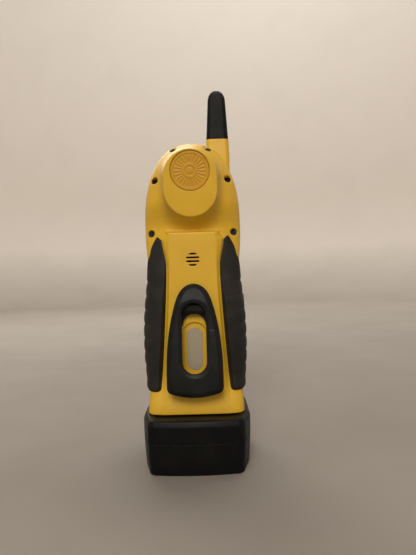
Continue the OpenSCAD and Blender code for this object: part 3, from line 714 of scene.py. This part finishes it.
def grip(x, y, z):
    """One rubber grip on the +X side: thin at both ends, bevelled inside, ribbed round its outer side."""
    rear = barrel(x, y, z, rear_depth, rear_power, 1)
    front = barrel(x, y, z, front_depth, front_power, -1)
    skin = np.where(y > SEAM_Y, rear, front)
    thick = 0.75 + 3.75 * np.exp(-np.abs((z - 80) / 35) ** 2.5)
    turn = (z - RIB_Z) / RIB_PITCH
    notch = np.exp(-(np.abs(turn - np.round(turn)) * RIB_PITCH / 0.95) ** 1.6)
    swell = 0.1 * np.cos(2 * math.pi * turn)
    ends = ease(51, 57, z) * (1 - ease(120, 125, z))
    reach = ease(25.5, 31, x + 0.25 * np.maximum(0, -y)) * ends
    outer = skin - thick + (RIB_DEPTH * notch + swell) * reach
    edge = mix(mix(23.3, 17.4, clamp01((z - 44) / 78) ** 0.7), 20.4, ease(130, 146, z))
    edge = np.maximum(edge, GRIP_TIP_X - (GRIP_TOP - z) * 1.1)
    bevel = mix(0.8, 2.1, clamp01((thick - 0.8) / 2.5)) + 0.7 * (1 - ease(50, 80, z))
    slope = bevel / thick
    wall = (edge - x + skin * slope) / np.sqrt(1 + slope * slope)
    rise = z - GRIP_SHOULDER_Z
    shoulder = mix(31.0, GRIP_TIP_X + 0.9, clamp01(rise / 16) ** 1.6) + 0.17 * np.maximum(-rise, 0)
    wrap = mix(-20.6, 4, ease(112, 137, z))
    shape = meet(outer, wall, 0.45)
    shape = meet(shape, wrap - y - 0.8 * skin, 1.4)
    shape = meet(shape, x - shoulder, 0.9)
    shape = meet(shape, z - GRIP_TOP, 0.4)
    shape = meet(shape, GRIP_LOW + 1.4 * ease(-4, 14, y) + 0.5 * skin - z, 2.8)
    return np.maximum(shape, -GRIP_SINK - skin)


def right_grip(x, y, z):
    body = grip(-x, y, z)
    return carve(body, box2(y - PTT_Y, z - PTT_Z, PTT_HY + 0.6, PTT_HZ + 0.6, 2.6), 0.6)


def build_grips():
    rubber = PAINT["grip_rubber"]
    mould("grip_left", grip, (16, -23, GRIP_LOW), (36, 17, GRIP_TOP), GRIP_STEP,
          rubber, "housing", ["left_grip"])
    mould("grip_right", right_grip, (-36, -23, GRIP_LOW), (-16, 17, GRIP_TOP), GRIP_STEP,
          rubber, "housing", ["right_grip"])


# ---- emblem, label and antenna -----------------------------------------------------------------------

def emblem(x, y, z):
    """A plain rosette in the plateau's recess: a rim, a ring of shallow flutes and a domed centre."""
    u, v, w = face_frame(x, y, z)
    r = np.hypot(u, v)
    flutes = np.cos(24 * np.arctan2(v, u))
    ring = ease(10.6, 10.2, r) * ease(4.3, 4.7, r)
    top = -0.6 - 0.26 * ring + 0.15 * flutes * ease(9.9, 9.4, r) * ease(5.0, 5.6, r)
    top = top - 0.22 * ease(3.3, 2.9, r) + 0.3 * ease(2.3, 1.4, r)
    return meet(meet(r - RECESS_R + 0.35, w - top, 0.2), -RECESS_DEPTH + 0.02 - w, 0.05)


def label(x, y, z):
    flat = slot2(x, z - LABEL_Z, LABEL_HALF, LABEL_HW)
    return meet(flat, slab(y, SLAB_Y - 1.18, SLAB_Y - 0.94), 0.08)


def sleeve(x, y, z):
    """Rubber cover: its rounded oblong section narrows upwards and closes in an even dome."""
    lift = clamp01((z - SLEEVE_DOME) / (ANT_TOP - SLEEVE_DOME))
    s = mix(1, 0.8, clamp01((z - ANT_BASE_TOP) / (SLEEVE_DOME - ANT_BASE_TOP)))
    s = s * np.sqrt(np.maximum(1 - lift * lift, 0.004))
    side = box2((x - ANT_X) / s, (y - ANT_Y) / s, 7.7, 5.8, 3.6) * s
    body = meet(side, z - ANT_TOP, 0.2)
    body = meet(body, ANT_BASE_TOP + 0.3 - z, 0.3)
    bore = np.maximum(np.hypot(x - ANT_X, y - ANT_Y) - 4, z - SLEEVE_DOME)
    return carve(body, bore, 0.2)


def build_trim():
    mould("emblem_rosette", emblem,
          (-12.2, 22, EMBLEM_Z - 13), (12.2, 28.5, EMBLEM_Z + 13), EMBLEM_STEP,
          PAINT["emblem_plastic"], "housing", ["emblem_disc"])
    mould("label_plate", label,
          (-LABEL_HW, 11.8, LABEL_Z - LABEL_HALF), (LABEL_HW, 12.1, LABEL_Z + LABEL_HALF), LABEL_STEP,
          PAINT["label_foil"], "housing", ["rating_label"])
    mould("antenna_cover", sleeve,
          (ANT_X - 7.9, ANT_Y - 6, ANT_BASE_TOP), (ANT_X + 7.9, ANT_Y + 6, ANT_TOP), FINE_STEP,
          PAINT["antenna_rubber"], "housing", ["antenna_sleeve"])


# ---- belt clip -----------------------------------------------------------------------------------------

CLIP_T = 3.0
EAR_X, EAR_T, EAR_R = 7.3, 2.9, 2.8
PIN_BORE = 1.55
SLOT_MID, SLOT_HALF, SLOT_HW = 82.6, 22.0, 7.6


def clip_arch(x, z):
    """The clip's outline seen from behind: a tapering tongue closed by an arch, with a bowed lower end."""
    narrow, narrow_run, narrow_power = 7.6, 52, 2.4
    arch_z, arch_run, arch_power = 100, 16.8, 5.4
    up = np.maximum(z - 58, 0) / narrow_run
    width = CLIP_HW - narrow * up ** narrow_power
    rise = np.clip((z - arch_z) / arch_run, 0, 1.25)
    ax = np.abs(x) + 1e-6
    total = (ax / width) ** 2 + rise ** arch_power
    slope_z = arch_power * rise ** (arch_power - 1) / arch_run
    slope_z = slope_z + (ax / width) ** 2 * 2 / width * (
        narrow * narrow_power / narrow_run * up ** (narrow_power - 1))
    slope = np.hypot(2 * ax / width ** 2, slope_z) + 1e-6
    side = 2 * (total - np.sqrt(total)) / slope
    low = (46.2 + 0.011 * x * x - z) / np.sqrt(1 + (0.022 * x) ** 2)
    return meet(side, low, 3.0)


def clip_face(z):
    """Y of the clip's outer face."""
    bend = 105
    low = mix(27.2, 22, clamp01((z - 46) / (bend - 46)) ** 1.5)
    return low - 4.2 * clamp01((z - bend) / (CLIP_TOP - bend)) ** 1.2


def belt_clip(x, y, z):
    arch = clip_arch(x, z)
    slot = slot2(x, z - SLOT_MID, SLOT_HALF, SLOT_HW)
    face = clip_face(z)
    crown = 0.25 * (x / CLIP_HW) ** 2
    top = y - face + crown
    flank = (top + (3.1 + arch) * 0.55) / 1.14
    lip = (top + (2.3 - slot) * 0.38) / 1.07
    foot = (top + (2.6 - (z - 46.2)) * 0.4) / 1.08
    plate = meet(meet(meet(top, flank, 0.16), lip, 0.16), foot, 0.6)
    pad = np.maximum(box2(x + 11.3, z - 86.2, 2.3, 1.3, 0.2), 0)
    plate = plate - 0.16 * (1 - clamp01(pad / 0.25))
    under = face - CLIP_T - y
    skirt_low = np.minimum(face - CLIP_T, np.maximum(face - 5.4, 20.1))
    skirt = np.maximum(np.maximum(arch, -1.9 - arch), skirt_low - y)
    rim_low = np.minimum(face - CLIP_T, np.maximum(face - 4.2, 20.1))
    rim = np.maximum(np.maximum(-slot, slot - 1.6), rim_low - y)
    body = join(join(under, skirt, 0.8), rim, 0.6)
    ridge = np.maximum(slab(z, 48.4, 51.2), np.abs(x) - 14.4)
    ridge = np.maximum(ridge, 20.0 + 0.8 * ((z - 49.8) / 1.4) ** 2 - y)
    body = join(body, ridge, 1.0)
    shape = meet(meet(plate, body, 0.5), arch, 0.5)
    shape = carve(shape, slot, 0.35)
    ear = np.hypot(y - PIN_Y, z - PIN_Z) - EAR_R
    web = np.maximum(np.maximum(slab(y, PIN_Y - 1.5, face - 1), slab(z, PIN_Z - 4.5, PIN_Z + 2.4)),
                     (PIN_Z - z) * 0.62 - (y - PIN_Y) * 0.78 - 2.7)
    ear = meet(join(ear, web, 1.0), np.abs(np.abs(x) - EAR_X - EAR_T / 2) - EAR_T / 2, 0.4)
    shape = join(shape, ear, 0.6)
    return carve(shape, np.hypot(y - PIN_Y, z - PIN_Z) - PIN_BORE, 0.15)


def build_clip():
    mould("clip_tongue", belt_clip, (-18, 13.2, 46), (18, 27.4, CLIP_TOP), CLIP_STEP,
          PAINT["clip_plastic"], "belt_clip", ["belt_clip"])


# ---- battery pack ----------------------------------------------------------------------------------------

PACK_WALL = 2.2
TOWER_HX, TOWER_Y0, TOWER_Y1, TOWER_TOP = 19.0, -12.0, 6.0, 50.0
TOWER_Y, TOWER_HY = (TOWER_Y0 + TOWER_Y1) / 2, (TOWER_Y1 - TOWER_Y0) / 2
PACK_SCREWS = ((31.4, -16.0), (31.4, 5.0))
PACK_HEAD_R, PACK_BOSS_R, PACK_EDGE = 1.95, 2.5, 0.3
BLADES_X = (-8, 0, 8)
LATCH_HX, LATCH_HZ, LATCH_Z = 10.0, 4.4, 25.4


def pack_plan(x, y, scale, inset=0.0):
    """The pack's outline from above: round front corners, sides drawn in towards a bowed back."""
    ax = np.abs(x) / scale
    w, r = PACK_HW - inset, max(7 - inset, 2.0)
    front = box2(ax, y - 20, w, 50 - inset, r)
    taper = (ax - w) * 0.958 + (y - 9) * 0.287
    back = (y - PACK_HD + inset + 0.0026 * x * x) / np.sqrt(1 + (0.0052 * x) ** 2)
    return meet(meet(front, taper, 1.5), back, 3.4)


def pack_scale(z):
    return np.interp(z, (0, 1.8, 10, 19, 24), (0.963, 0.965, 0.985, 0.998, 1.0))


def pack_posts(x, y, r):
    ax = np.abs(x)
    near = None
    for px, py in PACK_SCREWS:
        d = np.hypot(ax - px, y - py) - r
        near = d if near is None else np.minimum(near, d)
    return near


def pack_cup(x, y, z):
    scale = pack_scale(z)
    outer = meet(pack_plan(x, y, scale), -z, 1.2)
    dish = np.maximum(pack_plan(x, y, 0.965, 7), z - 0.5)
    outer = carve(outer, dish, 0.4)
    inner = np.maximum(pack_plan(x, y, scale, PACK_WALL + 0.2), 2.4 - z)
    inner = carve(inner, pack_posts(x, y, PACK_BOSS_R), 0.4)
    shell = np.maximum(outer, -inner)
    shell = carve(shell, np.maximum(pack_posts(x, y, PACK_HEAD_R), z - 3.4), 0.15)
    shell = carve(shell, pack_posts(x, y, 1.3), 0.1)
    return meet(shell, z - PACK_SPLIT, PACK_EDGE)


def pack_lid(x, y, z):
    outer = pack_plan(x, y, pack_scale(z)) + 0.9 * ease(29, 32.4, z)
    step = meet(pack_plan(x, y, 1.0, 6.2), PACK_H - 0.45 - z, 0.2)
    outer = meet(outer, z - PACK_H, 1.9)
    outer = carve(outer, step, 0.25)
    tower = box2(x, y - TOWER_Y, TOWER_HX, TOWER_HY, 1.2)
    ribs = np.maximum(np.abs(np.abs(x) - 12) - 0.9, slab(y, TOWER_Y0, TOWER_Y1))
    tower = meet(meet(tower, z - TOWER_TOP, 1.0), 29 - z, 0.5)
    tower = np.minimum(tower, np.maximum(ribs, slab(z, 30, TOWER_TOP - 1.5)))
    outer = join(outer, tower, 1.2)
    inner = np.maximum(pack_plan(x, y, 1.0, PACK_WALL), z - 30.6)
    inner = carve(inner, pack_posts(x, y, PACK_BOSS_R), 0.4)
    well = np.maximum(box2(x, y - TOWER_Y, TOWER_HX - 1.8, TOWER_HY - 1.8, 0.6),
                      slab(z, 29, TOWER_TOP - 2))
    shell = np.maximum(outer, -np.minimum(inner, well))
    shell = carve(shell, np.maximum(pack_posts(x, y, 1.22), z - 29), 0.1)
    for bx in BLADES_X:
        shell = carve(shell, np.maximum(box2(x - bx, y + 3, 1, 3.2, 0.2), 40 - z), 0.15)
    window = np.maximum(box2(x, z - LATCH_Z, LATCH_HX + 0.4, LATCH_HZ + 0.4, 1.7), y + 20)
    shell = carve(shell, window, 0.35)
    shell = carve(shell, np.maximum(box2(x, y + 16.3, 7.4, 2.9, 0.3), slab(z, 28, 40)), 0.3)
    return meet(shell, PACK_SPLIT - z, PACK_EDGE)


def pack_latch(x, y, z):
    """Push plate with finger ridges, on a sprung arm that ends in a hook."""
    plan = box2(x, z - LATCH_Z, LATCH_HX, LATCH_HZ, 1.5)
    ridge_h, ridge_pitch = 0.45, 1.9
    wave = 0.5 + 0.5 * np.cos((z - LATCH_Z) * 2 * math.pi / ridge_pitch)
    ridge = ridge_h * wave * ease(8.6, 7.6, np.abs(x)) * ease(4.0, 3.2, np.abs(z - LATCH_Z))
    plate = meet(plan, slab(y, -29.4 + ridge_h - ridge, -25), 0.4)
    arm = meet(np.abs(x) - 6.5, np.maximum(slab(y, -25.1, -16.4), slab(z, 23.5, 25.5)), 0.3)
    post = meet(np.abs(x) - 6.5, np.maximum(slab(y, -18.4, -16.4), slab(z, 23.5, 43)), 0.3)
    hook = np.maximum(slab(z, 40.4, 42.6), slab(y, -20 + 0.7 * clamp01(z - 41.3), -18.3))
    hook = np.maximum(np.abs(x) - 4, hook)
    return join(join(join(plate, arm, 0.4), post, 0.8), hook, 0.3)


def build_pack():
    black = PAINT["pack_plastic"]
    mould("pack_cup", pack_cup, (-PACK_HW, -PACK_HD, 0), (PACK_HW, PACK_HD, PACK_SPLIT), PACK_STEP,
          black, "battery_pack", ["pack_base"])
    mould("pack_cover", pack_lid, (-PACK_HW, -PACK_HD, PACK_SPLIT), (PACK_HW, PACK_HD, TOWER_TOP), PACK_STEP,
          black, "battery_pack", ["pack_lid"])
    mould("latch_plate", pack_latch, (-10, -29.5, 21), (10, -16.3, 43), FINE_STEP,
          PAINT["latch_plastic"], "pack_latch", ["pack_latch"])


# ---- front panel and keys ----------------------------------------------------------------------------------

KEY_FRONT, KEY_BACK = -27.6, -21.4


def panel(x, y, z):
    """Black front plate with a raised frame round the window and a dished seat round the keys."""
    outline = panel_outline(x, z)
    frame_ring = np.abs(box2(x, z - WINDOW_Z, WINDOW_HX + 1.4, WINDOW_HZ + 1.4, 4)) - 0.8
    front = -26.2 + 0.35 * ease(-0.4, 0.4, frame_ring)
    front = front + 0.25 * ease(0.4, -0.4, key_holes(x, z, 1.6))
    shape = meet(outline, front - y, 0.8)
    shape = meet(shape, y - PANEL_BACK + 0.05, 0.1)
    shape = carve(shape, box2(x, z - WINDOW_Z, WINDOW_HX - 1.5, WINDOW_HZ - 1.5, 2), 0.15)
    seat = box2(x, z - WINDOW_Z, WINDOW_HX + 0.2, WINDOW_HZ + 0.2, 3)
    shape = carve(shape, np.maximum(seat, y + 25), 0.15)
    shape = carve(shape, key_holes(x, z, KEY_GAP), 0.25)
    rule = np.maximum(np.abs(z - 103.5) - 0.35, np.abs(x) - 13)
    shape = carve(shape, np.maximum(rule, y + 25.5), 0.2)
    return carve(shape, np.hypot(x - MIC[0], z - MIC[1]) - MIC_R, 0.2)


def mark_of(name, u, v):
    """Distance to the small relief on a key, in the key's own plane."""
    if name in ("up_key", "down_key"):
        v = v if name == "up_key" else -v
        return np.maximum(np.abs(u) * 0.78 + v * 0.62 - 0.9, -v - 1.0)
    if name == "power_key":
        ring = np.maximum(np.abs(np.hypot(u, v) - 1.5) - 0.28, -np.maximum(np.abs(u) - 0.75, -v))
        return np.minimum(ring, box2(u, v - 1.2, 0.28, 0.95, 0.2))
    if name == "menu_key":
        return np.minimum(np.minimum(box2(u, v - 1.1, 1.9, 0.26, 0.2), box2(u, v, 1.9, 0.26, 0.2)),
                          box2(u, v + 1.1, 1.9, 0.26, 0.2))
    if name == "scan_key":
        return np.minimum(np.abs(np.hypot(u, v) - 1.5) - 0.26, np.hypot(u, v) - 0.5)
    return np.hypot(u, v) - 1.1


def key_field(name):
    kx, kz, w, h = KEYS[name]

    def field(x, y, z):
        u, v = x - kx, z - kz
        cap = box2(u, v, w / 2, h / 2, 2)
        crown = 0.5 * clamp01((u / (w / 2)) ** 2 * 0.6 + (v / (h / 2)) ** 2 * 0.6)
        front = KEY_FRONT + 0.25 + crown - 0.25 * ease(0.12, -0.12, mark_of(name, u, v))
        cap = meet(cap, np.maximum(front - y, y + 22.2), 0.7)
        rim = meet(box2(u, v, w / 2 + 0.75, h / 2 + 0.75, 2), slab(y, -22.2, KEY_BACK), 0.15)
        return join(cap, rim, 0.2)

    return field


def push_to_talk(x, y, z):
    """Side button with cross ribs on a crowned face."""
    u, v = y - PTT_Y, z - PTT_Z
    plan = box2(u, v, PTT_HY, PTT_HZ, 2.5)
    rib_h, rib_pitch = 0.4, 2.6
    wave = 0.5 - 0.5 * np.cos(v * 2 * math.pi / rib_pitch)
    ribs = rib_h * wave * ease(9.5, 8.2, np.abs(v)) * ease(3.0, 2.4, np.abs(u))
    outer = -35 + 0.1 + 0.7 * (v / PTT_HZ) ** 2 + 0.45 * (u / PTT_HY) ** 2 + ribs
    cap = meet(plan, np.maximum(outer - x, x + 26.9), 0.7)
    rim = meet(box2(u, v, PTT_HY + 0.85, PTT_HZ + 1.15, 2.5), slab(x, -27, -26), 0.15)
    return join(cap, rim, 0.2)


def lens(x, y, z):
    shape = box2(x, z - WINDOW_Z, WINDOW_HX, WINDOW_HZ, 3)
    return meet(shape, slab(y, -25.9, -25.02), 0.2)


def build_front():
    mould("front_plate", panel, (-20, -26.3, 46.5), (20, -23.8, 147.5), CLIP_STEP,
          PAINT["panel_plastic"], "housing", ["face_panel"])
    mould("window_lens", lens, (-15, -25.9, 110), (15, -25, 134), FINE_STEP,
          PAINT["display_lens"], "housing", ["display_lens"])
    for name, (kx, kz, w, h) in KEYS.items():
        rubber = "power_key_rubber" if name == "power_key" else "key_rubber"
        mould(name + "_cap", key_field(name), (kx - w / 2 - 0.8, KEY_FRONT, kz - h / 2 - 0.8),
              (kx + w / 2 + 0.8, KEY_BACK, kz + h / 2 + 0.8), KEY_STEP,
              PAINT[rubber], name, [name])
    mould("talk_button", push_to_talk,
          (-35, PTT_Y - 4.3, PTT_Z - 12.2), (-26, PTT_Y + 4.3, PTT_Z + 12.2), TALK_STEP,
          PAINT["key_rubber"], "ptt_button", ["ptt_button"])


build_housing()
build_grips()
build_trim()
build_clip()
build_pack()
build_front()


# ---- carried-over CAD nodes ---------------------------------------------------------------------------

def paint_cad_nodes():
    """Every CAD node still showing gets the material of its slot in the record."""
    for name, obj in frame["nodes"].items():
        if obj.hide_render:
            continue
        obj.data.materials.clear()
        obj.data.materials.append(PAINT[RECORD_SLOT[name]])


paint_cad_nodes()


# ---- stage, light and camera ----------------------------------------------------------------------------

# Ends of the floor's painted gradient: the darker colour is painted shade near the radio, the paler one is
# painted light out on the floor and up the wall
FLOOR_PAINTED_SHADE, FLOOR_PAINTED_LIGHT = srgb(124, 116, 107), srgb(238, 230, 220)
WARM, PALE, SKY = (1.0, 0.97, 0.925), (1.0, 0.985, 0.96), srgb(232, 226, 217)
SKY_STRENGTH = 0.22
CAMERA_AT, CAMERA_LENS, CAMERA_LEAN = (-0.0096, 0.283, 0.1205), 27.05, math.radians(1.5)


def build_stage():
    """A pale round floor that sweeps up into a wall all round, well away from the radio. Its colour is
    painted darker near the middle and lighter outwards and up the wall, as painted shade and painted light.
    """
    n = Nodes("studio_floor")
    flat = n.link(n.place, n.add("ShaderNodeMapping"), "Vector")
    flat.inputs["Scale"].default_value = (1.0, 1.0, 0.0)
    length = n.add("ShaderNodeVectorMath", operation="LENGTH")
    reach = n.link(flat.outputs["Vector"], length, 0).outputs["Value"]
    height = n.link(n.place, n.add("ShaderNodeSeparateXYZ"), 0).outputs["Z"]
    # Painted shade and light: darker near the middle, lighter outwards and with height, standing in for how
    # the lamps fall off over the floor and wall; the noise added next is random tone
    painted_falloff = n.math("ADD", n.span(reach, 0.0, 1.5, 0.03, 0.45), n.span(height, 0.0, 0.3, 0.0, 0.55))
    painted_falloff = n.math("ADD", painted_falloff, n.span(n.noise(5.0, 3.0), 0.3, 0.7, -0.03, 0.03))
    n.colour(n.blend(painted_falloff, FLOOR_PAINTED_SHADE, FLOOR_PAINTED_LIGHT))
    n.roughness(n.span(n.noise(30.0), 0.3, 0.7, 0.8, 0.9))
    reach_flat, sweep, top, sides, steps = 1.7, 0.6, 3.2, 96, 18
    profile = [(reach_flat * k, 0.0) for k in (0.0001, 0.06, 0.2, 0.5, 1.0)] + [
        (reach_flat + sweep * math.sin(t), sweep - sweep * math.cos(t))
        for t in np.linspace(0, math.pi / 2, steps)[1:]] + [(reach_flat + sweep, top)]
    turns = np.linspace(0, 2 * math.pi, sides, endpoint=False)
    verts = [(r * math.cos(a), r * math.sin(a), z) for r, z in profile for a in turns]
    faces = [(i * sides + j, i * sides + (j + 1) % sides,
              (i + 1) * sides + (j + 1) % sides, (i + 1) * sides + j)
             for i in range(len(profile) - 1) for j in range(sides)]
    floor = mesh_object("studio_floor", verts, faces)
    floor.data.materials.append(n.material)
    # The pack stands on it, so the radio lifts off a pack that stays put
    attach(floor, "battery_pack")


def area_light(name, place, target, size, power, colour):
    data = bpy.data.lights.new(name, "AREA")
    data.shape = "DISK"
    data.size = size
    data.energy = power
    data.color = colour
    obj = bpy.data.objects.new(name, data)
    obj.location = place
    obj.rotation_euler = (Vector(target) - Vector(place)).to_track_quat("-Z", "Y").to_euler()
    bpy.context.scene.collection.objects.link(obj)


def build_light():
    """A large soft key above the back, a weaker light on the front, and a wash on the wall to each side."""
    middle = (0, 0, 0.12)
    area_light("key", (0.12, 1.2, 0.98), middle, 0.7, 12.8, WARM)
    area_light("wall_wash", (-0.3, -0.7, 2.7), (0, -2.3, 0.35), 0.9, 24, PALE)
    area_light("front_wash", (0.3, 0.7, 2.7), (0, 2.3, 0.35), 0.9, 9, PALE)
    area_light("far_side", (0.35, -0.8, 0.9), middle, 0.8, 5, WARM)
    world = bpy.data.worlds.new("studio")
    bpy.context.scene.world = world
    world.use_nodes = True
    background = world.node_tree.nodes["Background"]
    background.inputs["Color"].default_value = SKY
    background.inputs["Strength"].default_value = SKY_STRENGTH


def build_camera():
    """Seen from straight behind, a little to the antenna's side, the radio leaning slightly."""
    data = bpy.data.cameras.new("camera")
    data.sensor_width = 36
    data.lens = CAMERA_LENS
    cam = bpy.data.objects.new("camera", data)
    back = Vector((0, 1, 0))
    up = Vector((-math.sin(CAMERA_LEAN), 0, math.cos(CAMERA_LEAN)))
    right = up.cross(back)
    turn = Matrix((right, up, back)).transposed().to_4x4()
    cam.matrix_world = Matrix.Translation(CAMERA_AT) @ turn
    bpy.context.scene.collection.objects.link(cam)
    bpy.context.scene.camera = cam


bpy.context.scene.view_settings.view_transform = "Standard"
build_stage()
build_light()
build_camera()
